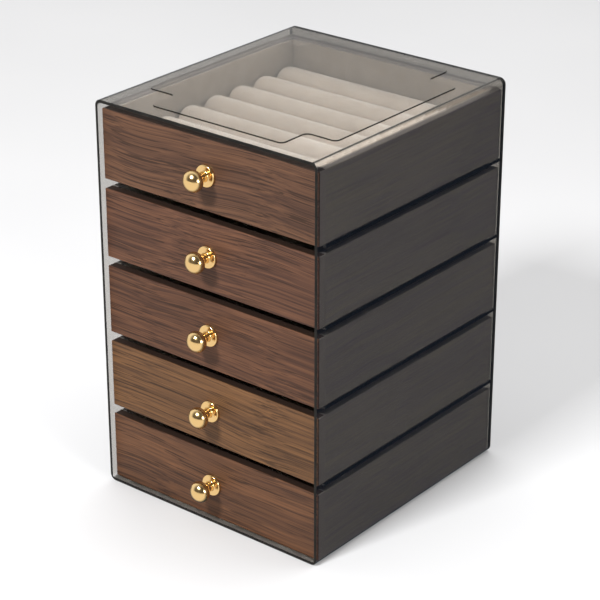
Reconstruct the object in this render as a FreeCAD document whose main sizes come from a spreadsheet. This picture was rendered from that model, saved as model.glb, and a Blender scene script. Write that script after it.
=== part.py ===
"""Jewelry organizer box: a smoke plastic cabinet with five walnut drawers, as a parametric document.

Millimetres, +Z up, drawers open towards -Y. The origin is the middle of the cabinet's underside.
Drawers are numbered from the top: drawer 1 holds the ring rolls.
"""
import FreeCAD, Part
import os

DRAWER_COUNT = 5
ROLL_COUNT = 7

# Driving dimensions: name, millimetres, meaning
SIZES = [
    ("shell_width", 160.0, "cabinet outside, left to right"),
    ("shell_depth", 174.0, "cabinet outside, front rim to back"),
    ("wall", 1.8, "cabinet wall thickness"),
    ("corner_round", 4.0, "outside radius of the four long corners"),
    ("inner_round", 0.9, "inside radius of those corners, small enough to clear a drawer's edges"),
    ("rim_round", 0.6, "eased edges of the front rim"),
    ("plaque_rise", 0.6, "height of the stacking plaque above the top"),
    ("plaque_side_inset", 12.0, "plaque edge to the cabinet's side"),
    ("plaque_end_inset", 10.7, "plaque edge to the cabinet's front and back"),
    ("notch_size", 20.5, "square notch at each corner of the plaque"),
    ("notch_round", 3.5, "radius of the plaque's corners"),
    ("back_thick", 1.8, "back panel thickness"),
    ("panel_fit", 0.05, "gap round the back panel"),
    ("shelf_thick", 2.0, "shelf thickness"),
    ("shelf_setback", 8.5, "front rim to the shelf's front edge"),
    ("drawer_height", 42.5, "height of a drawer's front, sides and back"),
    ("drawer_lift", 0.3, "running gap under a drawer"),
    ("headroom", 3.7, "gap from a drawer to the shelf above it"),
    ("top_room", 0.6, "extra room above the top drawer"),
    ("side_clear", 0.5, "running gap at each side of a drawer"),
    ("back_clear", 0.3, "gap from a closed drawer to the back panel"),
    ("front_recess", 3.0, "front rim to the face of a closed drawer"),
    ("front_thick", 6.0, "drawer front thickness"),
    ("front_round", 0.6, "eased edges of the drawer's face"),
    ("side_thick", 4.0, "drawer side thickness"),
    ("rear_thick", 4.0, "drawer back thickness"),
    ("base_thick", 3.0, "drawer base thickness"),
    ("base_rise", 1.0, "drawer base above the lower edge of the sides"),
    ("lining_thick", 1.0, "velvet lining thickness"),
    ("lining_drop", 1.5, "lining's rim below the top of the sides"),
    ("disc_width", 13.2, "diameter of the knob's base disc"),
    ("disc_thick", 1.8, "thickness of the base disc"),
    ("disc_round", 0.7, "eased rim of the base disc"),
    ("neck_width", 6.0, "diameter of the knob's neck"),
    ("neck_flare", 1.6, "radius where the neck meets the disc"),
    ("head_width", 12.8, "diameter of the knob's ball, across its axis"),
    ("head_thick", 10.2, "length of the knob's ball, along its axis"),
    ("head_reach", 11.0, "drawer face to the middle of the ball"),
    ("screw_width", 3.8, "diameter of the knob screw's shank"),
    ("screw_bite", 7.0, "length of the screw inside the knob"),
    ("screw_clear", 0.05, "gap between the shank and its holes"),
    ("screw_head_width", 7.4, "diameter of the screw's head"),
    ("screw_head_thick", 2.0, "thickness of the screw's head"),
    ("head_clear", 0.3, "gap round and behind the screw's head"),
    ("slot_width", 1.0, "width of the screwdriver slot"),
    ("slot_depth", 0.8, "depth of the screwdriver slot"),
    ("roll_height", 22.5, "height of a ring roll"),
    ("roll_gap", 0.3, "gap between neighbouring rolls"),
    ("roll_lift", 0.2, "gap between a roll and the lining's floor"),
    ("roll_end_gap", 0.8, "gap from a roll's end to the lining"),
    ("roll_crown", 10.2, "radius of a roll's rounded top"),
    ("roll_foot", 4.0, "radius of a roll's lower edges"),
    ("roll_end_round", 3.0, "radius of a roll's drawn-in ends"),
]

# Sizes that follow from the driving dimensions
INNER_WIDTH = "(Sizes.shell_width - 2 * Sizes.wall)"
CELL = "(Sizes.drawer_lift + Sizes.drawer_height + Sizes.headroom)"
PITCH = f"({CELL} + Sizes.shelf_thick)"
INNER_HEIGHT = f"({DRAWER_COUNT} * {PITCH} - Sizes.shelf_thick + Sizes.top_room)"
SHELL_HEIGHT = f"({INNER_HEIGHT} + 2 * Sizes.wall)"
RIM_Y = "(-Sizes.shell_depth / 2)"
PANEL_Y = "(Sizes.shell_depth / 2 - Sizes.back_thick)"

DRAWER_WIDTH = f"({INNER_WIDTH} - 2 * Sizes.side_clear)"
FACE_Y = f"({RIM_Y} + Sizes.front_recess)"
BEHIND_FRONT_Y = f"({FACE_Y} + Sizes.front_thick)"
DRAWER_END_Y = f"({PANEL_Y} - Sizes.back_clear)"
TRAY_WIDTH = f"({DRAWER_WIDTH} - 2 * Sizes.side_thick)"
TRAY_DEPTH = f"({DRAWER_END_Y} - Sizes.rear_thick - {BEHIND_FRONT_Y})"
TRAY_RISE = "(Sizes.base_rise + Sizes.base_thick)"
LINING_HEIGHT = f"(Sizes.drawer_height - {TRAY_RISE} - Sizes.lining_drop)"

SINK_DEPTH = "(Sizes.screw_head_thick + Sizes.head_clear)"
BORE_RADIUS = "(Sizes.screw_width / 2 + Sizes.screw_clear)"

NEST_WIDTH = f"({TRAY_WIDTH} - 2 * Sizes.lining_thick)"
NEST_DEPTH = f"({TRAY_DEPTH} - 2 * Sizes.lining_thick)"
ROLL_PITCH = f"({NEST_DEPTH} / {ROLL_COUNT})"
ROLL_WIDTH = f"({ROLL_PITCH} - Sizes.roll_gap)"
ROLL_LENGTH = f"({NEST_WIDTH} - 2 * Sizes.roll_end_gap)"

ALONG_Y = FreeCAD.Rotation(FreeCAD.Vector(1, 0, 0), -90)
OUT_OF_FRONT = FreeCAD.Rotation(FreeCAD.Vector(1, 0, 0), 90)
NEAR = 1e-4

doc = FreeCAD.newDocument("jewelry_organizer_box")
sheet = doc.addObject("Spreadsheet::Sheet", "Sizes")
subparts = []


def fill_sheet():
    """Write each driving dimension to the sheet, with its name as the cell's alias."""
    for row, (name, value, meaning) in enumerate(SIZES, start=1):
        sheet.set(f"A{row}", meaning)
        sheet.set(f"B{row}", str(value))
        sheet.setAlias(f"B{row}", name)
    doc.recompute()


def floor_z(number):
    """Height of the surface that a drawer runs on."""
    return f"(Sizes.wall + {DRAWER_COUNT - number} * {PITCH})"


def drawer_z(number):
    """Height of a drawer's lower edge."""
    return f"({floor_z(number)} + Sizes.drawer_lift)"


def bind(feature, sizes):
    """Tie properties of a feature to expressions."""
    for prop, expression in sizes.items():
        feature.setExpression(prop, expression)


def place(feature, x="0", y="0", z="0", turn=None):
    """Tie a feature's position to expressions, after an optional turn."""
    if turn is not None:
        feature.Placement = FreeCAD.Placement(FreeCAD.Vector(), turn)
    bind(feature, {".Placement.Base.x": x, ".Placement.Base.y": y, ".Placement.Base.z": z})


def centred(size):
    """Start of a span of this size that is centred on zero."""
    return f"(-{size} / 2)"


def new_body(label):
    """Start a sub-part that is built from features."""
    body = doc.addObject("PartDesign::Body", label)
    body.Label = label
    subparts.append(body)
    return body


def block(body, kind, size, corner):
    """Add or cut a block of size (x, y, z) at its lowest corner."""
    feature = body.newObject(f"PartDesign::{kind}Box", f"{body.Label}_block")
    bind(feature, dict(zip(("Length", "Width", "Height"), size)))
    place(feature, *corner)


def rod(body, kind, radius, height, position=("0", "0", "0"), turn=None):
    """Add or cut a cylinder that starts at a position."""
    feature = body.newObject(f"PartDesign::{kind}Cylinder", f"{body.Label}_rod")
    bind(feature, {"Radius": radius, "Height": height})
    place(feature, *position, turn=turn)


def round_edges(body, chosen, radius):
    """Fillet the edges of the body's last feature that the test picks."""
    doc.recompute()
    base = body.Tip
    names = [f"Edge{i}" for i, edge in enumerate(base.Shape.Edges, start=1) if chosen(edge)]
    fillet = body.newObject("PartDesign::Fillet", f"{body.Label}_round")
    fillet.Base = (base, names)
    bind(fillet, {"Radius": radius})


def runs_along(edge, axis):
    """True for an edge that is parallel to the x, y or z axis."""
    box = edge.BoundBox
    spans = {"x": box.XLength, "y": box.YLength, "z": box.ZLength}
    return all((span > NEAR) == (name == axis) for name, span in spans.items())


def lies_at_y(edge, y):
    """True for an edge in one plane across the depth."""
    return abs(edge.BoundBox.YMin - y) < NEAR and abs(edge.BoundBox.YMax - y) < NEAR


def is_ring_at(edge, z, radius):
    """True for a circle about the z axis at this height and radius."""
    box = edge.BoundBox
    return abs(box.ZMin - z) < NEAR and abs(box.ZMax - z) < NEAR and abs(box.XMax - radius) < NEAR


def panel(label, size, corner):
    """A flat board as a sub-part of its own."""
    board = doc.addObject("Part::Box", label)
    board.Label = label
    bind(board, dict(zip(("Length", "Width", "Height"), size)))
    place(board, *corner)
    subparts.append(board)


def make_shell():
    """Moulded tube, open at the front, with the notched stacking plaque on its top."""
    body = new_body("cabinet_shell")
    block(body, "Additive", ("Sizes.shell_width", "Sizes.shell_depth", SHELL_HEIGHT),
          (centred("Sizes.shell_width"), RIM_Y, "0"))
    round_edges(body, lambda edge: runs_along(edge, "y"), "Sizes.corner_round")
    block(body, "Subtractive", (INNER_WIDTH, "Sizes.shell_depth", INNER_HEIGHT),
          (centred(INNER_WIDTH), RIM_Y, "Sizes.wall"))
    doc.recompute()
    inner_half = (sheet.shell_width - 2 * sheet.wall) / 2
    low = sheet.wall
    high = body.Tip.Shape.BoundBox.ZMax - sheet.wall

    def inside_corner(edge):
        box = edge.BoundBox
        at_side = abs(abs(box.Center.x) - inner_half) < NEAR
        return runs_along(edge, "y") and at_side and min(abs(box.ZMin - low), abs(box.ZMin - high)) < NEAR

    round_edges(body, inside_corner, "Sizes.inner_round")
    rim_y = -sheet.shell_depth / 2
    round_edges(body, lambda edge: lies_at_y(edge, rim_y), "Sizes.rim_round")

    width = "(Sizes.shell_width - 2 * Sizes.plaque_side_inset)"
    depth = "(Sizes.shell_depth - 2 * Sizes.plaque_end_inset)"
    notched_width = f"({width} - 2 * Sizes.notch_size)"
    notched_depth = f"({depth} - 2 * Sizes.notch_size)"
    height = "(Sizes.plaque_rise + Sizes.wall / 2)"
    base_z = f"({SHELL_HEIGHT} - Sizes.wall / 2)"
    for plan in ((width, notched_depth), (notched_width, depth)):
        block(body, "Additive", (*plan, height), (centred(plan[0]), centred(plan[1]), base_z))
    doc.recompute()
    top = body.Tip.Shape.BoundBox.ZMax
    riser = top - sheet.plaque_rise
    round_edges(body, lambda edge: runs_along(edge, "z") and edge.BoundBox.ZMin > riser - NEAR,
                "Sizes.notch_round")


def make_back_panel():
    """Plate that closes the back of the tube."""
    body = new_body("back_panel")
    width = f"({INNER_WIDTH} - 2 * Sizes.panel_fit)"
    height = f"({INNER_HEIGHT} - 2 * Sizes.panel_fit)"
    block(body, "Additive", (width, "Sizes.back_thick", height),
          (centred(width), PANEL_Y, "(Sizes.wall + Sizes.panel_fit)"))
    round_edges(body, lambda edge: runs_along(edge, "y"), "Sizes.inner_round")


def make_shelf(number):
    """Plate that carries one drawer, set back from the front rim."""
    depth = f"({PANEL_Y} - {RIM_Y} - Sizes.shelf_setback)"
    underside = f"({floor_z(number)} - Sizes.shelf_thick)"
    panel(f"shelf_{number}", (INNER_WIDTH, depth, "Sizes.shelf_thick"),
          (centred(INNER_WIDTH), f"({RIM_Y} + Sizes.shelf_setback)", underside))


def make_front(number):
    """Drawer front with a hole for the knob's screw, sunk on the inside for its head."""
    body = new_body(f"drawer_{number}_front")
    middle = "Sizes.drawer_height / 2"
    block(body, "Additive", (DRAWER_WIDTH, "Sizes.front_thick", "Sizes.drawer_height"),
          (centred(DRAWER_WIDTH), "0", "0"))
    round_edges(body, lambda edge: lies_at_y(edge, 0.0), "Sizes.front_round")
    rod(body, "Subtractive", BORE_RADIUS, "Sizes.front_thick", ("0", "0", middle), ALONG_Y)
    sink_radius = "(Sizes.screw_head_width / 2 + Sizes.head_clear)"
    sink_floor = f"(Sizes.front_thick - {SINK_DEPTH})"
    rod(body, "Subtractive", sink_radius, SINK_DEPTH, ("0", sink_floor, middle), ALONG_Y)
    place(body, "0", FACE_Y, drawer_z(number))


def make_box(number):
    """The boards behind a drawer's front: two sides, a back and a base."""
    low = drawer_z(number)
    length = f"({DRAWER_END_Y} - {BEHIND_FRONT_Y})"
    side = ("Sizes.side_thick", length, "Sizes.drawer_height")
    panel(f"drawer_{number}_left_side", side, (centred(DRAWER_WIDTH), BEHIND_FRONT_Y, low))
    panel(f"drawer_{number}_right_side", side, (f"({TRAY_WIDTH} / 2)", BEHIND_FRONT_Y, low))
    panel(f"drawer_{number}_back", (TRAY_WIDTH, "Sizes.rear_thick", "Sizes.drawer_height"),
          (centred(TRAY_WIDTH), f"({DRAWER_END_Y} - Sizes.rear_thick)", low))
    panel(f"drawer_{number}_base", (TRAY_WIDTH, TRAY_DEPTH, "Sizes.base_thick"),
          (centred(TRAY_WIDTH), BEHIND_FRONT_Y, f"({low} + Sizes.base_rise)"))


def make_lining(number):
    """Velvet tray that covers the inside of a drawer."""
    body = new_body(f"drawer_{number}_lining")
    block(body, "Additive", (TRAY_WIDTH, TRAY_DEPTH, LINING_HEIGHT), (centred(TRAY_WIDTH), "0", "0"))
    block(body, "Subtractive", (NEST_WIDTH, NEST_DEPTH, LINING_HEIGHT),
          (centred(NEST_WIDTH), "Sizes.lining_thick", "Sizes.lining_thick"))
    place(body, "0", BEHIND_FRONT_Y, f"({drawer_z(number)} + {TRAY_RISE})")


def make_knob(number):
    """Turned knob, a slightly flattened ball on a base disc, bored for its screw."""
    body = new_body(f"drawer_{number}_knob")
    rod(body, "Additive", "Sizes.disc_width / 2", "Sizes.disc_thick")
    rod(body, "Additive", "Sizes.neck_width / 2", "Sizes.head_reach")
    disc_face = sheet.disc_thick
    round_edges(body, lambda edge: is_ring_at(edge, disc_face, sheet.disc_width / 2), "Sizes.disc_round")
    round_edges(body, lambda edge: is_ring_at(edge, disc_face, sheet.neck_width / 2), "Sizes.neck_flare")
    ball = body.newObject("PartDesign::AdditiveEllipsoid", f"{body.Label}_ball")
    bind(ball, {"Radius1": "Sizes.head_thick / 2", "Radius2": "Sizes.head_width / 2",
                "Radius3": "Sizes.head_width / 2"})
    place(ball, z="Sizes.head_reach")
    rod(body, "Subtractive", BORE_RADIUS, "(Sizes.screw_bite + Sizes.head_clear)")
    place(body, "0", FACE_Y, f"({drawer_z(number)} + Sizes.drawer_height / 2)", OUT_OF_FRONT)


def make_screw(number):
    """Slotted screw from inside the front into the knob."""
    body = new_body(f"drawer_{number}_screw")
    length = f"(Sizes.front_thick - {SINK_DEPTH} + Sizes.screw_bite)"
    rod(body, "Additive", "Sizes.screw_head_width / 2", "Sizes.screw_head_thick",
        ("0", "0", "-Sizes.screw_head_thick"))
    rod(body, "Additive", "Sizes.screw_width / 2", length)
    block(body, "Subtractive", ("Sizes.screw_head_width", "Sizes.slot_width", "Sizes.slot_depth"),
          (centred("Sizes.screw_head_width"), centred("Sizes.slot_width"), "-Sizes.screw_head_thick"))
    place(body, "0", f"({BEHIND_FRONT_Y} - {SINK_DEPTH})",
          f"({drawer_z(number)} + Sizes.drawer_height / 2)", OUT_OF_FRONT)


def make_roll(number):
    """Padded ring roll: round on top, softer below, drawn in at its ends."""
    body = new_body(f"ring_roll_{number}")
    block(body, "Additive", (ROLL_LENGTH, ROLL_WIDTH, "Sizes.roll_height"),
          (centred(ROLL_LENGTH), centred(ROLL_WIDTH), "0"))
    height = sheet.roll_height
    round_edges(body, lambda edge: runs_along(edge, "x") and edge.BoundBox.ZMin > height - NEAR,
                f"min(Sizes.roll_crown; 0.48 * {ROLL_WIDTH})")
    round_edges(body, lambda edge: runs_along(edge, "x") and edge.BoundBox.ZMax < NEAR, "Sizes.roll_foot")
    doc.recompute()
    end = body.Tip.Shape.BoundBox.XMax
    round_edges(body, lambda edge: edge.BoundBox.XLength < NEAR and abs(abs(edge.BoundBox.XMin) - end) < NEAR,
                "Sizes.roll_end_round")
    y = f"({BEHIND_FRONT_Y} + Sizes.lining_thick + {number - 0.5} * {ROLL_PITCH})"
    z = f"({drawer_z(1)} + {TRAY_RISE} + Sizes.lining_thick + Sizes.roll_lift)"
    place(body, "0", y, z)


def export():
    """Stop on any failed object, then write each sub-part to its own file."""
    doc.recompute()
    failed = [obj.Label for obj in doc.Objects if {"Invalid", "Error"} & set(obj.State)]
    failed += [obj.Label for obj in subparts if obj.Shape.isNull() or not obj.Shape.isValid()]
    if failed:
        raise RuntimeError(f"not built: {failed}")
    os.makedirs("parts", exist_ok=True)
    for obj in subparts:
        obj.Shape.exportStep(f"parts/{obj.Label}.step")
        print(f"{obj.Label}: {len(obj.Shape.Solids)} solid, {obj.Shape.Volume / 1000:.3f} cm3")


fill_sheet()
make_shell()
make_back_panel()
for drawer in range(1, DRAWER_COUNT + 1):
    if drawer < DRAWER_COUNT:
        make_shelf(drawer)
    make_front(drawer)
    make_box(drawer)
    make_lining(drawer)
    make_knob(drawer)
    make_screw(drawer)
for roll in range(1, ROLL_COUNT + 1):
    make_roll(roll)
export()
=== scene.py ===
# %% [markdown]
# # A jewelry organizer box
# The object is a small tabletop cabinet of smoke-tinted clear plastic with five walnut drawers. Each
# drawer has a turned brass knob, and the top one holds velvet ring rolls. The pieces come ready from the
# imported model: this lesson gives each its finish, and models by hand those that need a finer surface.

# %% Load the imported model
import math

import bmesh
import bpy
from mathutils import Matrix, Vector


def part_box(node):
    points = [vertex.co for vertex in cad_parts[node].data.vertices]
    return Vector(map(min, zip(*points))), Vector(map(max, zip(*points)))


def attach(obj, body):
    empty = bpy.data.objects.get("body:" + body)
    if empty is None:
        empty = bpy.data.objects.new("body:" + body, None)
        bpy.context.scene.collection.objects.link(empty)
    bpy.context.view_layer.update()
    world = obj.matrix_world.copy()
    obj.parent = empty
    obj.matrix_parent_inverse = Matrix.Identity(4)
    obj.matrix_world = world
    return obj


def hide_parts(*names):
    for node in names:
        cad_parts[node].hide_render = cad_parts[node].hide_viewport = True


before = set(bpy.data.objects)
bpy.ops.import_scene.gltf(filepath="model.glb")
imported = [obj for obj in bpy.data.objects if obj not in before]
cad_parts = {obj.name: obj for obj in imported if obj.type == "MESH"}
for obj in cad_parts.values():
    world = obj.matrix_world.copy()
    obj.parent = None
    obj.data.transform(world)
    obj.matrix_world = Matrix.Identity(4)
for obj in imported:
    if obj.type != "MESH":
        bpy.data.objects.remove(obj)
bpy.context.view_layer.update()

MM = 0.001
DRAWERS = range(1, 6)
SHELVES = range(1, 5)
ROLLS = range(1, 8)
ALONG_X = 0
ALONG_Y = 1
ALONG_Z = 2

# %% [markdown]
# ## Tools for modelling
# An operator works on everything that is selected, so each piece starts from a clean selection. Faces and
# edges are picked in code by a test on their place or direction, which is what a hand does by eye. Every
# piece ends with its place in its mesh and its object at the origin. Where several pieces are equal, the
# first is modelled and the others are copies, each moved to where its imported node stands.

# %% Selecting and shaping
PARALLEL = 0.999  # share of an edge's length that has to lie along an axis
FACING = 0.9  # a face looks along an axis when its normal has this much of it
ACROSS = 0.1  # and lies across the axis when its normal has less than this


def take(piece):
    """Make one piece the only selected and active object."""
    bpy.ops.object.select_all(action="DESELECT")
    piece.select_set(True)
    bpy.context.view_layer.objects.active = piece


def settle(piece):
    """Move an object's place, turn and size into its mesh."""
    take(piece)
    bpy.ops.object.transform_apply(location=True, rotation=True, scale=True)


def block(name, low, high):
    """A cube stretched between two corners."""
    bpy.ops.object.select_all(action="DESELECT")
    bpy.ops.mesh.primitive_cube_add(size=1)
    piece = bpy.context.object
    piece.name = piece.data.name = name
    piece.location = (Vector(low) + Vector(high)) / 2
    piece.scale = Vector(high) - Vector(low)
    settle(piece)
    return piece


def edit(piece):
    """Open a piece in edit mode."""
    take(piece)
    bpy.ops.object.mode_set(mode="EDIT")


def done():
    """Close edit mode."""
    bpy.ops.object.mode_set(mode="OBJECT")


def pick(piece, kind, test):
    """In edit mode, select only the faces or edges that pass a test, and count them."""
    bpy.ops.mesh.select_mode(type={"faces": "FACE", "edges": "EDGE"}[kind])
    bpy.ops.mesh.select_all(action="DESELECT")
    mesh = bmesh.from_edit_mesh(piece.data)
    mesh.normal_update()
    chosen = [element for element in getattr(mesh, kind) if test(element)]
    for element in chosen:
        element.select_set(True)
    bmesh.update_edit_mesh(piece.data)
    return len(chosen)


def round_edges(piece, test, radius, segments):
    """Bevel the edges that pass a test."""
    edit(piece)
    count = pick(piece, "edges", test)
    bpy.ops.mesh.bevel(offset=radius, segments=segments, affect="EDGES")
    done()
    return count


def runs_along(edge, axis):
    """True for an edge that is parallel to an axis."""
    step = edge.verts[1].co - edge.verts[0].co
    return abs(step[axis]) > PARALLEL * step.length


def apply_modifier(piece, kind, **settings):
    """Add one modifier, set it up and apply it."""
    take(piece)
    modifier = piece.modifiers.new(kind.lower(), kind)
    for key, value in settings.items():
        setattr(modifier, key, value)
    bpy.ops.object.modifier_apply(modifier=modifier.name)


def combine(piece, tool, operation):
    """Join a second solid to a piece or cut it out, then remove it."""
    apply_modifier(piece, "BOOLEAN", operation=operation, object=tool, solver="EXACT")
    bpy.data.objects.remove(tool)


def copy_of(piece, name, shift):
    """A copy with its own mesh, moved by a shift."""
    take(piece)
    bpy.ops.object.duplicate(linked=False)
    twin = bpy.context.object
    twin.name = twin.data.name = name
    twin.location = shift
    settle(twin)
    return twin


def set_out(first, stem, numbers, node):
    """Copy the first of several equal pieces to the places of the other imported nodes."""
    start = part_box(node.format(1))[0]
    pieces = {1: first}
    for n in numbers[1:]:
        pieces[n] = copy_of(first, f"{stem}_{n}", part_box(node.format(n))[0] - start)
    return pieces


def dress(piece, material):
    """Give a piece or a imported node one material."""
    piece.data.materials.clear()
    piece.data.materials.append(material)


def hand_over(piece, body, material, node):
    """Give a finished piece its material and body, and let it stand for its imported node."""
    dress(piece, material)
    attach(piece, body)
    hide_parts(node)


# %% [markdown]
# ## Tools for materials
# Colours are chosen as sRGB hex values, as from a paint chart, and turned to linear light for the shader.
# One function adds a node, sets it and links it, so that a material reads from top to bottom. Two short
# ones use it for the steps that come most often, mixing and arithmetic.

# %% Colours and nodes
MIX_SOCKETS = {"FLOAT": (2, 3, 0), "RGBA": (6, 7, 2)}  # first, second and result, which share their names


def linear(hex_colour):
    """An sRGB hex colour as linear red, green, blue and alpha."""
    channels = [int(hex_colour[i:i + 2], 16) / 255 for i in (1, 3, 5)]
    light = [c / 12.92 if c <= 0.04045 else ((c + 0.055) / 1.055) ** 2.4 for c in channels]
    return (*light, 1.0)


def add(tree, kind, inputs=None, stops=(), **settings):
    """Add a node with its properties, its sockets filled by values or links, and a ramp's two stops."""
    node = tree.nodes.new(kind)
    for key, value in settings.items():
        setattr(node, key, value)
    for key, value in (inputs or {}).items():
        if isinstance(value, bpy.types.NodeSocket):
            tree.links.new(value, node.inputs[key])
        else:
            node.inputs[key].default_value = value
    for index, (position, colour) in enumerate(stops):
        point = node.color_ramp.elements[index]
        point.position = position
        point.color = colour
    return node


def blend(tree, kind, factor, first, second):
    """Mix two numbers or two colours, and return the result's socket."""
    one, other, result = MIX_SOCKETS[kind]
    mix = add(tree, "ShaderNodeMix", {0: factor, one: first, other: second}, data_type=kind)
    return mix.outputs[result]


def calculate(tree, operation, *values):
    """Do one step of arithmetic on numbers or sockets, and return the result's socket."""
    return add(tree, "ShaderNodeMath", dict(enumerate(values)), operation=operation).outputs["Value"]


def new_material(name, **sockets):
    """A material with one Principled shader, its fixed values on the shader's own sockets."""
    material = bpy.data.materials.new(name)
    material.use_nodes = True
    tree = material.node_tree
    shader = tree.nodes["Principled BSDF"]
    for key, value in sockets.items():
        shader.inputs[key.replace("_", " ")].default_value = value
    return material, tree, shader


# %% [markdown]
# ## Smoke plastic
# The cabinet is moulded from polystyrene with a grey-brown dye. The dye sits inside the plastic, so a long
# way through it is darker than a short one: the rims look nearly black while a single wall stays pale. A
# tinted surface can't give that, so the surface is clear and the tint is a volume that absorbs light.
# Handling leaves faint smudges, which vary the gloss. The panel at the back is cut from darker sheet. The
# two rims are satin, where the mould parts: they mirror little, and their near-black is painted shade
# that stands for the dye seen the long way through the wall.

# %% Smoke polystyrene
SMOKE_TINT = "#b0aa9f"
WALL_DENSITY = 430.0
SHEET_DENSITY = 850.0
MOULDED_IOR = 1.49
SMUDGE = 14 * MM


def make_smoke_plastic(name, density):
    """Clear plastic that swallows some light on every millimetre of the way through it."""
    material, tree, shader = new_material(
        name, Base_Color=(1, 1, 1, 1), Transmission_Weight=1.0, IOR=MOULDED_IOR)
    place = add(tree, "ShaderNodeTexCoord").outputs["Object"]
    smudges = add(tree, "ShaderNodeTexNoise", {"Vector": place, "Scale": 1 / SMUDGE, "Detail": 3.0})
    gloss = add(tree, "ShaderNodeMapRange", {
        "Value": smudges.outputs["Fac"], "From Min": 0.35, "From Max": 0.75, "To Min": 0.01, "To Max": 0.05})
    tree.links.new(gloss.outputs["Result"], shader.inputs["Roughness"])
    smoke = add(tree, "ShaderNodeVolumeAbsorption", {"Color": linear(SMOKE_TINT), "Density": density})
    tree.links.new(smoke.outputs["Volume"], tree.nodes["Material Output"].inputs["Volume"])
    return material


smoke_plastic = make_smoke_plastic("smoke_polystyrene_moulded", WALL_DENSITY)
smoke_sheet = make_smoke_plastic("smoke_polystyrene_sheet", SHEET_DENSITY)
print(smoke_plastic.name, WALL_DENSITY, smoke_sheet.name, SHEET_DENSITY)

# %% Satin rims
RIM_DYE_AND_SHADE = "#161615"
RIM_SCUFF = "#232220"
SCUFF = 6 * MM

smoke_rim, tree, shader = new_material(
    "smoke_polystyrene_satin_rim", Roughness=0.4, Specular_IOR_Level=0.12)
place = add(tree, "ShaderNodeTexCoord").outputs["Object"]
scuffs = add(tree, "ShaderNodeTexNoise", {"Vector": place, "Scale": 1 / SCUFF, "Detail": 3.0})
# painted shade: the rims get a near-black colour, with lighter scuffs at random
dye = add(tree, "ShaderNodeValToRGB", {"Fac": scuffs.outputs["Fac"]}, stops=[
    (0.4, linear(RIM_DYE_AND_SHADE)), (0.75, linear(RIM_SCUFF))])
tree.links.new(dye.outputs["Color"], shader.inputs["Base Color"])
print(smoke_rim.name)

# %% [markdown]
# ## Walnut
# The fronts are faced with walnut, its grain lying from side to side. Three things make it read as walnut:
# slow bands of colour, finer streaks that wander with them, and thin dark pores. All three are noise
# that is squeezed across the grain and stretched along it. Each front is cut from another board, so each
# gets its own brown and its own place in the pattern.

# %% Walnut veneer
BAND_WIDTH = 18.0 * MM
BAND_LENGTH = 240.0 * MM
STREAK_WIDTH = 1.1 * MM
STREAK_LENGTH = 140.0 * MM
PORE_WIDTH = 0.9 * MM  # real pores are 0.2 mm wide, which would vanish at this size
PORE_LENGTH = 80.0 * MM
WANDER = 14.0 * MM
WANDER_LENGTH = 160.0 * MM
COOL_DARKS = 1.12
WARM_LIGHTS = 0.9
STREAK_SHARE = 0.7
PORE_SHADE = 0.25
PORE_RELIEF = 0.1 * MM


def scaled(colour, factor, blue=1.0):
    """A linear colour made darker or paler, and cooler or warmer by its blue."""
    red, green, old_blue, alpha = colour
    return (red * factor, green * factor, old_blue * factor * blue, alpha)


def make_wood(name, along, brown, spread, pore_depth, roughness):
    """Grain along one axis: one brown, how far the grain spreads around it, and darker pores."""
    middle = linear(brown)
    material, tree, shader = new_material(name, IOR=1.5, Specular_IOR_Level=0.25)
    place = add(tree, "ShaderNodeTexCoord").outputs["Object"]
    drift = add(tree, "ShaderNodeTexNoise", {"Vector": place, "Scale": 1 / WANDER_LENGTH, "Detail": 2.0})
    wavy = add(tree, "ShaderNodeVectorMath", {
        0: drift.outputs["Color"], 1: (WANDER, WANDER, WANDER), 2: place}, operation="MULTIPLY_ADD")
    noises = {}
    for grain, width, length in (("bands", BAND_WIDTH, BAND_LENGTH), ("streaks", STREAK_WIDTH, STREAK_LENGTH),
                                 ("pores", PORE_WIDTH, PORE_LENGTH)):
        squeeze = [1 / width] * 3
        squeeze[along] = 1 / length
        stretched = add(tree, "ShaderNodeMapping", {"Vector": wavy.outputs["Vector"], "Scale": squeeze})
        noise = add(tree, "ShaderNodeTexNoise", {
            "Vector": stretched.outputs["Vector"], "Scale": 1.0, "Detail": 2.5, "Roughness": 0.55})
        noises[grain] = noise.outputs["Fac"]
    figure = blend(tree, "FLOAT", STREAK_SHARE, noises["bands"], noises["streaks"])
    browns = add(tree, "ShaderNodeValToRGB", {"Fac": figure}, stops=[
        (0.36, scaled(middle, 1 - spread, COOL_DARKS)), (0.64, scaled(middle, 1 + spread, WARM_LIGHTS))])
    pores = add(tree, "ShaderNodeMapRange", {
        "Value": noises["pores"], "From Min": 0.44, "From Max": 0.40, "To Min": 0.0, "To Max": pore_depth})
    colour = blend(tree, "RGBA", pores.outputs["Result"], browns.outputs["Color"], scaled(middle, PORE_SHADE))
    tree.links.new(colour, shader.inputs["Base Color"])
    sheen = add(tree, "ShaderNodeMapRange", {
        "Value": noises["streaks"], "To Min": roughness - 0.08, "To Max": roughness + 0.10})
    tree.links.new(sheen.outputs["Result"], shader.inputs["Roughness"])
    relief = add(tree, "ShaderNodeBump", {
        "Height": pores.outputs["Result"], "Strength": 0.3, "Distance": PORE_RELIEF}, invert=True)
    tree.links.new(relief.outputs["Normal"], shader.inputs["Normal"])
    return material, tree, shader, place, colour


FOIL_GREY = "#898482"
FOIL_SPREAD = 0.12
FOIL_PORE_DEPTH = 0.12
FOIL_ROUGHNESS = 0.55
board_foil = make_wood("foiled_board", ALONG_Y, FOIL_GREY, FOIL_SPREAD, FOIL_PORE_DEPTH, FOIL_ROUGHNESS)[0]
print(board_foil.name)
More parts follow.
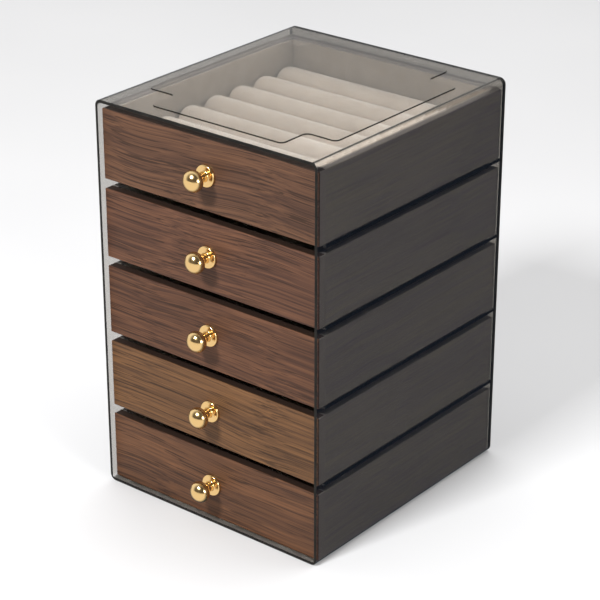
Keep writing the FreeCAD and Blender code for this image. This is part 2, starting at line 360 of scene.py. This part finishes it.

# %% [markdown]
# The walnut on a front is a thin leaf glued to a board, and the ends of that board are wrapped in the
# same grey foil as the sides. Behind the leaf the board is painted near-black, as painted shade for the gaps
# between the drawers. One material can hold all three, because each has its own place: the leaf ends a
# little behind the face, and the foil starts just inside each end.

# %% Walnut leaf on a wrapped board
FRONT_BROWNS = {1: "#52382a", 2: "#56392b", 3: "#553829", 4: "#5f422b", 5: "#5a3c2a"}
GRAIN_SPREAD = 0.47
PORE_DEPTH = 0.72
LEAF_ROUGHNESS = 0.52
# painted shade: a near-black brown for the faces behind the leaf, so the gaps between the drawers read dark
CORE_SHADE_BROWN = "#2b1f19"
LEAF_THICK = 0.9 * MM
FOIL_WRAP = 0.5 * MM

face_low, face_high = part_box("drawer_1_front")
leaf_back = face_low.y + LEAF_THICK
wrap_start = face_high.x - FOIL_WRAP
front_walnut = {}
for n in DRAWERS:
    front_walnut[n], tree, shader, place, leaf = make_wood(
        f"walnut_veneer_{n}", ALONG_X, FRONT_BROWNS[n], GRAIN_SPREAD, PORE_DEPTH, LEAF_ROUGHNESS)
    axes = add(tree, "ShaderNodeSeparateXYZ", {"Vector": place})
    behind = calculate(tree, "GREATER_THAN", axes.outputs["Y"], leaf_back)
    # painted shade: everything behind the walnut leaf turns near-black, so the gaps between the drawers read
    # dark
    board = blend(tree, "RGBA", behind, leaf, linear(CORE_SHADE_BROWN))
    sideways = calculate(tree, "ABSOLUTE", axes.outputs["X"])
    at_end = calculate(tree, "GREATER_THAN", sideways, wrap_start)
    wrapped = calculate(tree, "MULTIPLY", at_end, behind)
    finish = blend(tree, "RGBA", wrapped, board, linear(FOIL_GREY))
    tree.links.new(finish, shader.inputs["Base Color"])
print("walnuts", len(front_walnut), "leaf ends at y", round(leaf_back / MM, 1), "mm")

# %% [markdown]
# ## Brass, steel and velvet
# Polished brass is a metal with a warm tint and a low roughness, and faint wear makes its gloss uneven.
# Velvet is a short pile that lightens where it is seen edge-on, which the sheen layer gives, over a mottle
# of brushed and unbrushed pile.

# %% Metals
WEAR_SPOT = 3 * MM


def make_metal(name, hex_colour, smooth, worn):
    """Metal whose gloss varies between two roughness values."""
    material, tree, shader = new_material(name, Base_Color=linear(hex_colour), Metallic=1.0)
    place = add(tree, "ShaderNodeTexCoord").outputs["Object"]
    wear = add(tree, "ShaderNodeTexNoise", {"Vector": place, "Scale": 1 / WEAR_SPOT, "Detail": 4.0})
    gloss = add(tree, "ShaderNodeMapRange", {
        "Value": wear.outputs["Fac"], "From Min": 0.3, "From Max": 0.7, "To Min": smooth, "To Max": worn})
    tree.links.new(gloss.outputs["Result"], shader.inputs["Roughness"])
    return material


brass = make_metal("brass_polished", "#edcb90", smooth=0.14, worn=0.21)
steel = make_metal("steel_zinc_plated", "#b9bbc0", smooth=0.25, worn=0.40)
print("metals", brass.name, steel.name)

# %% Velvets
PILE_TUFT = 0.9 * MM  # pile is finer than this, but would vanish at this size
BRUSHED_PATCH = 9 * MM
PILE_GLOW = 6 * MM  # light that the pile and the foam pass on sideways
PILE_RELIEF = 0.3 * MM
TUFT_SHARE = 0.35


def make_velvet(name, brushed, shaded):
    """Short pile in two close shades, with a sheen and a fine relief."""
    material, tree, shader = new_material(
        name, Roughness=0.95, Specular_IOR_Level=0.15, Sheen_Weight=0.7, Sheen_Roughness=0.4,
        Subsurface_Weight=0.8, Subsurface_Radius=(1.0, 0.9, 0.8), Subsurface_Scale=PILE_GLOW)
    place = add(tree, "ShaderNodeTexCoord").outputs["Object"]
    patches = add(tree, "ShaderNodeTexNoise", {"Vector": place, "Scale": 1 / BRUSHED_PATCH, "Detail": 3.0})
    pile = add(tree, "ShaderNodeTexNoise", {"Vector": place, "Scale": 1 / PILE_TUFT, "Detail": 2.0})
    mottle = blend(tree, "FLOAT", TUFT_SHARE, patches.outputs["Fac"], pile.outputs["Fac"])
    tint = add(tree, "ShaderNodeValToRGB", {"Fac": mottle}, stops=[
        (0.35, linear(shaded)), (0.65, linear(brushed))])
    tree.links.new(tint.outputs["Color"], shader.inputs["Base Color"])
    nap = add(tree, "ShaderNodeBump", {
        "Height": pile.outputs["Fac"], "Strength": 0.35, "Distance": PILE_RELIEF})
    tree.links.new(nap.outputs["Normal"], shader.inputs["Normal"])
    return material


roll_velvet = make_velvet("velvet_cream", brushed="#c9c0b7", shaded="#bdb3a9")
lining_velvet = make_velvet("velvet_stone", brushed="#aaa095", shaded="#9c9286")
print("velvets", roll_velvet.name, lining_velvet.name)

# %% [markdown]
# ## The cabinet shell
# The shell is a moulded tube with rounded outer corners and a soft front rim. Inside, the two upper corners
# follow the bend of the top, and the two lower ones are crisp. It starts as a block with four long edges
# rounded, and a second block is cut out of it. The alternative, a thin skin with a Solidify modifier, would
# tie the inner corners to the outer ones.

# %% Shell tube
shell_low, shell_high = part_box("cabinet_shell")
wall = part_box("shelf_1")[0].x - shell_low.x
PLAQUE_RISE = 0.6 * MM
CORNER_ROUND = 4.0 * MM
INNER_ROUND = 0.9 * MM
LID_ROUND = 2.2 * MM
SQUARE = 1.5  # an edge that turns by more radians than this has not been rounded yet
RIM_ROUND = 0.3 * MM
BACK_ROUND = 0.25 * MM
NEAR = 0.01 * MM
top_z = shell_high.z - PLAQUE_RISE

shell = block("shell", shell_low, (shell_high.x, shell_high.y, top_z))
round_edges(shell, lambda edge: runs_along(edge, ALONG_Y), CORNER_ROUND, segments=14)
past = Vector((0, wall, 0))
inset = Vector((wall, 0, wall))
bore = block("bore", shell_low + inset - past, Vector((shell_high.x, shell_high.y, top_z)) - inset + past)
tube_middle = Vector((0, 0, top_z / 2))
round_edges(bore, lambda e: runs_along(e, ALONG_Y) and e.verts[0].co.z > tube_middle.z, LID_ROUND, segments=8)
round_edges(bore, lambda e: runs_along(e, ALONG_Y) and e.calc_face_angle() > SQUARE, INNER_ROUND, segments=5)
combine(shell, bore, "DIFFERENCE")


def on_rim(edge, y):
    """Edges in one plane across the depth, where a rim turns into the walls."""
    in_plane = all(abs(vert.co.y - y) < NEAR for vert in edge.verts)
    return in_plane and any(abs(face.normal.y) < ACROSS for face in edge.link_faces)


def on_outer_back(edge):
    """The back rim's outer edges, whose wall faces away from the middle of the tube."""
    outwards = (edge.verts[0].co - tube_middle) * Vector((1, 0, 1))
    return on_rim(edge, shell_high.y) and any(
        abs(face.normal.y) < ACROSS and face.normal.dot(outwards) > 0 for face in edge.link_faces)


rim_edges = round_edges(shell, lambda edge: on_rim(edge, shell_low.y), RIM_ROUND, segments=3)
back_edges = round_edges(shell, on_outer_back, BACK_ROUND, segments=4)
print("wall", round(wall / MM, 2), "mm, front rim edges", rim_edges, "back rim edges", back_edges)

# %% [markdown]
# ## The stacking plaque
# A shallow plaque with notched corners stands on the top, so that a second cabinet can't slide off. It is
# drawn out of a small block: each side is extruded by the width of a notch, which leaves the four corners
# open. It then becomes one moulding with the shell, because two clear solids in contact would show a seam
# inside the plastic that the real moulding doesn't have.

# %% Stacking plaque
PLAQUE_SIDE_INSET = 12.0 * MM
PLAQUE_END_INSET = 10.7 * MM
NOTCH = 20.5 * MM
NOTCH_ROUND = 3.5 * MM
PLAQUE_EASE = 0.4 * MM

core_x = shell_high.x - PLAQUE_SIDE_INSET - NOTCH
core_y = shell_high.y - PLAQUE_END_INSET - NOTCH
plaque = block("plaque", (-core_x, -core_y, top_z - wall / 2), (core_x, core_y, shell_high.z))
edit(plaque)
for side in ((core_x, 0), (-core_x, 0), (0, core_y), (0, -core_y)):
    middle = Vector(side)
    pick(plaque, "faces", lambda face: (face.calc_center_median().xy - middle).length < NEAR)
    step = (middle.normalized() * NOTCH).to_3d()
    bpy.ops.mesh.extrude_region_move(TRANSFORM_OT_translate={"value": step})
done()
corner_edges = round_edges(plaque, lambda edge: runs_along(edge, ALONG_Z), NOTCH_ROUND, segments=8)


def around_top(edge):
    """Edges where the flat top of a block turns down into its sides."""
    heights = [face.normal.z for face in edge.link_faces]
    return max(heights) > FACING and min(heights) < ACROSS


round_edges(plaque, around_top, PLAQUE_EASE, segments=3)
combine(shell, plaque, "UNION")
hand_over(shell, "cabinet", smoke_plastic, "cabinet_shell")
print("plaque corners", corner_edges, "shell faces", len(shell.data.polygons))

# %% [markdown]
# The satin rims belong to the same moulding, so they are a second material on it and no pieces of their own.
# At the back the satin and its painted shade reach round the end of the tube, where the panel's seam looks
# dark. A cut around the tube, which changes no shape, gives it a clean edge there.

# %% Satin finish on the front and back rims
RIM_SLOPE = 0.3
SEAM_DEPTH = 2.2 * MM

seam_y = shell_high.y - SEAM_DEPTH
shell.data.materials.append(smoke_rim)
edit(shell)
bpy.ops.mesh.select_all(action="SELECT")
bpy.ops.mesh.bisect(plane_co=(0, seam_y, 0), plane_no=(0, 1, 0))


def on_satin(face):
    """The front rim, and the end of the tube behind the seam."""
    return face.normal.y < -RIM_SLOPE or face.calc_center_median().y > seam_y


# painted shade: the front rim and the back end of the tube get the near-black rim colour
rim_faces = pick(shell, "faces", on_satin)
shell.active_material_index = 1
bpy.ops.object.material_slot_assign()
done()
print("rim faces", rim_faces)

# %% [markdown]
# ## Shelves and back panel
# Four clear shelves carry the drawers, and a panel closes the back. The shelves are remodelled with eased
# edges and a hair of air around them: where two clear solids share a face, light can't tell which one it
# is in. The back panel already has such a gap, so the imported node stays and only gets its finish.

# %% Shelves
SHELF_AIR = 0.12 * MM
SHELF_EASE = 0.3 * MM

first_low, first_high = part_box("shelf_1")
air = Vector((SHELF_AIR, 0, 0))
shelf = block("clear_shelf_1", first_low + air, first_high - air - Vector((0, SHELF_AIR, 0)))
round_edges(shelf, lambda edge: runs_along(edge, ALONG_X), SHELF_EASE, segments=2)
shelves = set_out(shelf, "clear_shelf", SHELVES, "shelf_{}")
for n, piece in shelves.items():
    hand_over(piece, "cabinet", smoke_plastic, f"shelf_{n}")
dress(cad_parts["back_panel"], smoke_sheet)
print("shelves", len(shelves))

# %% [markdown]
# ## Drawer boxes
# Behind each front is a box of thin boards wrapped in a plain foil. Sawn and wrapped boards never have
# knife-sharp edges, so each side and back is a block with all its edges eased. They are modelled once for
# the top drawer and copied down. The front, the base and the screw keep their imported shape.

# %% Sides and backs
BOARD_EASE = 0.5 * MM

for board in ("left_side", "right_side", "back"):
    low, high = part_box(f"drawer_1_{board}")
    first = block(f"{board}_1", low, high)
    round_edges(first, lambda edge: True, BOARD_EASE, segments=2)
    boards = set_out(first, board, DRAWERS, "drawer_{}_" + board)
    for n, piece in boards.items():
        hand_over(piece, f"drawer_{n}", board_foil, f"drawer_{n}_{board}")
for n in DRAWERS:
    dress(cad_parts[f"drawer_{n}_front"], front_walnut[n])
    dress(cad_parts[f"drawer_{n}_base"], board_foil)
    dress(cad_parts[f"drawer_{n}_screw"], steel)
print("boards dressed for", len(DRAWERS), "drawers")

# %% [markdown]
# ## Linings
# Each drawer has a tray with a flocked surface, which keeps jewellery from sliding. The block's top is
# opened, its corners are softened as pile does, and Solidify gives the skin its thickness inwards. It is a
# stiff tray and not loose cloth, so nothing is simulated.

# %% Flocked trays
LINING_THICK = 1.0 * MM
LINING_CORNER = 2.0 * MM

low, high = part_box("drawer_1_lining")
tray = block("flocked_tray_1", low, high)
edit(tray)
pick(tray, "faces", lambda face: face.normal.z > FACING)
bpy.ops.mesh.delete(type="ONLY_FACE")
done()


def below_mouth(edge):
    """Every edge of the tray but those around its open top."""
    return runs_along(edge, ALONG_Z) or not any(vert.co.z > high.z - NEAR for vert in edge.verts)


round_edges(tray, below_mouth, LINING_CORNER, segments=4)
apply_modifier(tray, "SOLIDIFY", thickness=LINING_THICK, offset=-1.0, use_even_offset=True)
trays = set_out(tray, "flocked_tray", DRAWERS, "drawer_{}_lining")
for n, piece in trays.items():
    hand_over(piece, f"drawer_{n}", lining_velvet, f"drawer_{n}_lining")
print("trays", len(trays), "faces each", len(tray.data.polygons))

# %% [markdown]
# ## Knobs
# Each knob is turned on a lathe: a base disc, a neck that flares into it and a slightly flattened ball. A
# spin would leave a seam and a pole to close, so the knob grows out of a short cylinder instead: its face
# is drawn out and resized, ring by ring, along the turner's profile.

# %% Turned knob
DISC_THICK = 1.8 * MM
DISC_ROUND = 0.7 * MM
NECK_RADIUS = 3.0 * MM
NECK_FLARE = 0.7 * MM
BALL_RADIUS = 6.4 * MM
BALL_HALF_LENGTH = 5.1 * MM
BALL_REACH = 11.0 * MM
LATHE_SEGMENTS = 72
QUARTER_STEPS = 5
BALL_STEPS = 28
TIP_FLAT = 0.3  # the last ring stops this part of a step before the tip
CREASE = math.radians(40)

knob_low, knob_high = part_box("drawer_1_knob")
disc_radius = (knob_high.x - knob_low.x) / 2
disc_edge = DISC_THICK - DISC_ROUND
knob_middle_z = (knob_low.z + knob_high.z) / 2


def knob_rings():
    """Radius and distance from the drawer's face, from the disc's rim to the tip."""
    rings = []
    for step in range(1, QUARTER_STEPS + 1):
        turn = math.pi / 2 * step / QUARTER_STEPS
        radius = disc_radius - DISC_ROUND * (1 - math.cos(turn))
        rings.append((radius, disc_edge + DISC_ROUND * math.sin(turn)))
    for step in range(QUARTER_STEPS + 1):
        turn = math.pi / 2 * step / QUARTER_STEPS
        radius = NECK_RADIUS + NECK_FLARE * (1 - math.sin(turn))
        rings.append((radius, DISC_THICK + NECK_FLARE * (1 - math.cos(turn))))
    start = math.asin(NECK_RADIUS / BALL_RADIUS)
    for step in range(BALL_STEPS):
        turn = start + (math.pi - start) * step / (BALL_STEPS - 1 + TIP_FLAT)
        rings.append((BALL_RADIUS * math.sin(turn), BALL_REACH - BALL_HALF_LENGTH * math.cos(turn)))
    return rings


bpy.ops.object.select_all(action="DESELECT")
bpy.ops.mesh.primitive_cylinder_add(
    vertices=LATHE_SEGMENTS, radius=disc_radius, depth=disc_edge, rotation=(math.pi / 2, 0, 0),
    location=(0, knob_high.y - disc_edge / 2, knob_middle_z))
knob = bpy.context.object
knob.name = knob.data.name = "knob_1"
settle(knob)
edit(knob)
pick(knob, "faces", lambda face: face.normal.y < -FACING)
radius_now = disc_radius
reach_now = disc_edge
for radius, reach in knob_rings():
    bpy.ops.mesh.extrude_region_move(TRANSFORM_OT_translate={"value": (0, reach_now - reach, 0)})
    bpy.ops.transform.resize(value=(radius / radius_now, 1, radius / radius_now))
    radius_now = radius
    reach_now = reach
done()
bpy.ops.object.shade_smooth_by_angle(angle=CREASE)
knobs = set_out(knob, "knob", DRAWERS, "drawer_{}_knob")
for n, piece in knobs.items():
    hand_over(piece, f"drawer_{n}", brass, f"drawer_{n}_knob")
print("knobs", len(knobs), "tip at y", round((knob_high.y - reach_now) / MM, 1), "mm")

# %% [markdown]
# ## Ring rolls
# The top drawer holds soft rolls, foam wrapped in velvet, and rings are pushed in between them. A padded
# piece looks right when it is really filled: a slightly small block is remeshed to an even skin, and the
# cloth solver blows it up for a few frames until the skin is tight. What would leave the roll's own
# space is pressed flat, as it is by its neighbours and the tray.

# %% One roll, filled
ROLL_SHRINK = 1.0 * MM
ROLL_CROWN = 9.4 * MM
ROLL_FOOT = 3.4 * MM
ROLL_END = 3.2 * MM
ROLL_VOXEL = 2.2 * MM
ROLL_PRESSURE = 4.0
FILL_FRAMES = 20
FILL_LIMIT = 1.6 * MM
ROLL_AIR = 0.1 * MM

roll_low, roll_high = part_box("ring_roll_1")
shrink = Vector((ROLL_SHRINK, ROLL_SHRINK, ROLL_SHRINK))
roll = block("ring_roll_velvet_1", roll_low + shrink, roll_high - shrink)
roll_middle_z = (roll_low.z + roll_high.z) / 2


def around_end(edge):
    """Edges where the flat end of the roll turns into its length."""
    lengthwise = [abs(face.normal.x) for face in edge.link_faces]
    return max(lengthwise) > FACING and min(lengthwise) < ACROSS


round_edges(
    roll, lambda e: runs_along(e, ALONG_X) and e.verts[0].co.z > roll_middle_z, ROLL_CROWN, segments=8)
round_edges(roll, lambda e: runs_along(e, ALONG_X) and e.calc_face_angle() > SQUARE, ROLL_FOOT, segments=4)
round_edges(roll, around_end, ROLL_END, segments=4)
take(roll)
roll.data.remesh_voxel_size = ROLL_VOXEL
bpy.ops.object.voxel_remesh()
print("roll skin", len(roll.data.vertices), "points")

# %% Blow up the skin and press it into its place
skin = [vert.co.copy() for vert in roll.data.vertices]
cloth = roll.modifiers.new("foam", "CLOTH")
cloth.settings.use_pressure = True
cloth.settings.uniform_pressure_force = ROLL_PRESSURE
cloth.settings.effector_weights.gravity = 0.0
cloth.point_cache.frame_end = FILL_FRAMES
for step in range(1, FILL_FRAMES + 1):
    bpy.context.scene.frame_set(step)
take(roll)
bpy.ops.object.modifier_apply(modifier=cloth.name)
bpy.context.scene.frame_set(1)
space_low = roll_low + Vector((ROLL_AIR, ROLL_AIR, 0))
space_high = roll_high - Vector((ROLL_AIR, ROLL_AIR, 0))
for vert, start in zip(roll.data.vertices, skin):
    move = vert.co - start
    vert.co = start + move * min(1.0, FILL_LIMIT / max(move.length, NEAR))
    vert.co = [min(max(vert.co[i], space_low[i]), space_high[i]) for i in range(3)]
apply_modifier(roll, "SUBSURF", levels=1, render_levels=1)
bpy.ops.object.shade_smooth()
print("filled roll", [round(size / MM, 1) for size in roll.dimensions])

# %% Seven rolls
rolls = set_out(roll, "ring_roll_velvet", ROLLS, "ring_roll_{}")
for n, piece in rolls.items():
    hand_over(piece, "drawer_1", roll_velvet, f"ring_roll_{n}")
print("rolls", len(rolls))

# %% [markdown]
# ## Floor, light and camera
# A pale floor, a soft dome of light and two lamps keep the plastic readable. The key in front gives the
# knobs their shadows, and a fill reaches the boards behind the right wall. A mirrored ray passes through
# the floor and meets the lower half of the dome, which does what a photographer's dark card does: without
# it the side wall would mirror the floor and lose its depth.

# %% Floor
FLOOR_SIZE = 6.0
FLOOR_GAP = 0.2 * MM
FLOOR_SHADE = "#cacacb"
FLOOR_LIGHT = "#cececf"
HAS_BOUNCED = 0.5  # a ray's count of bounces is above this from the first one on

floor_paint, tree, shader = new_material("floor_paint", Roughness=0.9, Specular_IOR_Level=0.1)
place = add(tree, "ShaderNodeTexCoord").outputs["Object"]
cloudy = add(tree, "ShaderNodeTexNoise", {"Vector": place, "Scale": 3.0, "Detail": 2.0})
tone = add(tree, "ShaderNodeValToRGB", {"Fac": cloudy.outputs["Fac"]}, stops=[
    (0.3, linear(FLOOR_SHADE)), (0.7, linear(FLOOR_LIGHT))])
tree.links.new(tone.outputs["Color"], shader.inputs["Base Color"])
path = add(tree, "ShaderNodeLightPath")
mirrored = calculate(tree, "GREATER_THAN", path.outputs["Glossy Depth"], HAS_BOUNCED)
open_air = add(tree, "ShaderNodeBsdfTransparent")
surface = add(tree, "ShaderNodeMixShader", {
    0: mirrored, 1: shader.outputs["BSDF"], 2: open_air.outputs["BSDF"]})
tree.links.new(surface.outputs["Shader"], tree.nodes["Material Output"].inputs["Surface"])
bpy.ops.object.select_all(action="DESELECT")
bpy.ops.mesh.primitive_plane_add(size=FLOOR_SIZE, location=(0, 0, -FLOOR_GAP))
floor = bpy.context.object
floor.name = floor.data.name = "floor"
settle(floor)
dress(floor, floor_paint)
print("floor", FLOOR_SIZE, "m wide")

# %% [markdown]
# Two soft boxes on the dome, above and behind the cabinet, light the rolls and the back. The clear top
# would mirror them as a white veil, so only light that a surface has scattered meets them. A photographer
# gets much the same from a polarising filter.

# %% Dome
TOP_BOX = 0.8
BACK_BOX = 1.6
BRIGHT_SIDE = 1.0
BACK_WALL = 0.6  # a dim wall behind the box keeps a bright veil off the clear top
DARK_ROOM = (0.10, 0.09, 0.08, 1.0)
ROOM = (0.35, -0.85, 0.40)  # the dark part of the studio, around and above the viewer
TABLE_GLOW = (1.0, 0.94, 0.87, 1.0)
SLATE_CARD = linear("#475060")

dome = bpy.data.worlds.new("studio_dome")
bpy.context.scene.world = dome
dome.use_nodes = True
tree = dome.node_tree
towards = add(tree, "ShaderNodeTexCoord").outputs["Generated"]
axes = add(tree, "ShaderNodeSeparateXYZ", {"Vector": towards})
table = add(tree, "ShaderNodeMapRange", {"Value": axes.outputs["Y"], "From Min": 0.15, "From Max": -0.35})
below = blend(tree, "RGBA", table.outputs["Result"], SLATE_CARD, TABLE_GLOW)
facing = add(tree, "ShaderNodeVectorMath", {0: towards, 1: ROOM}, operation="DOT_PRODUCT")
room = add(tree, "ShaderNodeMapRange", {"Value": facing.outputs["Value"], "From Min": 0.2, "From Max": 0.6})
behind = add(tree, "ShaderNodeMapRange", {
    "Value": axes.outputs["Y"], "From Min": 0.1, "From Max": 0.6, "To Min": BRIGHT_SIDE, "To Max": BACK_WALL})
above = blend(tree, "RGBA", room.outputs["Result"], behind.outputs["Result"], DARK_ROOM)
horizon = add(tree, "ShaderNodeMapRange", {"Value": axes.outputs["Z"], "From Min": -0.03, "From Max": 0.03})
colour = blend(tree, "RGBA", horizon.outputs["Result"], below, above)
tree.links.new(colour, tree.nodes["Background"].inputs["Color"])
top_box = add(tree, "ShaderNodeMapRange", {
    "Value": axes.outputs["Z"], "From Min": 0.80, "From Max": 0.92, "To Max": TOP_BOX})
back_box = add(tree, "ShaderNodeMapRange", {
    "Value": axes.outputs["Y"], "From Min": 0.1, "From Max": 0.6, "To Max": BACK_BOX})
boxes = calculate(tree, "ADD", top_box.outputs["Result"], back_box.outputs["Result"])
path = add(tree, "ShaderNodeLightPath")
scattered = calculate(tree, "GREATER_THAN", path.outputs["Diffuse Depth"], HAS_BOUNCED)
strength = calculate(tree, "MULTIPLY", scattered, boxes)
box_light = add(tree, "ShaderNodeBackground", {"Strength": strength})
both = add(tree, "ShaderNodeAddShader", {
    0: tree.nodes["Background"].outputs["Background"], 1: box_light.outputs["Background"]})
tree.links.new(both.outputs["Shader"], tree.nodes["World Output"].inputs["Surface"])
dome.cycles.sampling_method = "NONE"  # every ray then carries its own count of scatterings
print("dome", dome.name, "nodes", len(tree.nodes))

# %% [markdown]
# Few light paths find their way in through clear plastic and out again, and the smoke swallows most of what
# they carry. A thin panel right under the top stands in for them: it lights the rolls, and can't be seen
# or mirrored itself. The light outside can then stay low enough for the rolls of an open drawer.

# %% Lamps
LAMP_AIM = (0, 0, 0.12)
KEY_PLACE = (-0.06, -1.15, 1.22)
KEY_SIZE = 0.3
KEY_WATTS = 29.0
FILL_PLACE = (1.5, -0.35, 0.55)
FILL_SIZE = 0.5
FILL_WATTS = 11.5
PANEL_DROP = 1.0 * MM
PANEL_SIZE = 150 * MM
PANEL_WATTS = 0.132


def lamp(name, place, aim, size, watts):
    """A soft square lamp that faces a point."""
    data = bpy.data.lights.new(name, "AREA")
    data.size = size
    data.energy = watts
    light = bpy.data.objects.new(name, data)
    bpy.context.scene.collection.objects.link(light)
    light.location = place
    light.rotation_mode = "QUATERNION"
    light.rotation_quaternion = (Vector(aim) - Vector(place)).to_track_quat("-Z", "Y")
    return light


lamp("key", KEY_PLACE, LAMP_AIM, KEY_SIZE, KEY_WATTS)
lamp("fill", FILL_PLACE, LAMP_AIM, FILL_SIZE, FILL_WATTS)
panel_z = top_z - wall - PANEL_DROP
panel = lamp("panel_under_top", (0, 0, panel_z), (0, 0, 0), PANEL_SIZE, PANEL_WATTS)
panel.visible_glossy = False
panel.visible_transmission = False
print("lamps", len(bpy.data.lights))

# %% [markdown]
# The camera stands to the right of the front and looks down a little, from far off with a long lens, so
# that upright edges stay nearly upright.

# %% Camera
AZIMUTH = math.radians(39.05)
ELEVATION = math.radians(25.03)
DISTANCE = 1.2777
AIM = Vector((-0.00223, 0.0, 0.1112))
LENS = 128.8
SENSOR = 36.0

back = Vector((math.sin(AZIMUTH) * math.cos(ELEVATION), -math.cos(AZIMUTH) * math.cos(ELEVATION),
               math.sin(ELEVATION)))
view_data = bpy.data.cameras.new("camera")
view_data.lens = LENS
view_data.sensor_width = SENSOR
camera = bpy.data.objects.new("camera", view_data)
bpy.context.scene.collection.objects.link(camera)
camera.location = AIM + back * DISTANCE
camera.rotation_mode = "QUATERNION"
camera.rotation_quaternion = (-back).to_track_quat("-Z", "Y")
bpy.context.scene.camera = camera
print("camera at", [round(v, 3) for v in camera.location])

# %% Light paths and tone
CLEAR_STEPS = 20  # clear walls stand one behind the other, so a ray has many of them to get through
MIRROR_STEPS = 8

bpy.context.scene.cycles.max_bounces = CLEAR_STEPS
bpy.context.scene.cycles.transmission_bounces = CLEAR_STEPS
bpy.context.scene.cycles.glossy_bounces = MIRROR_STEPS
bpy.context.scene.view_settings.view_transform = "Standard"
print("steps through clear walls", CLEAR_STEPS, "and between mirrors", MIRROR_STEPS)
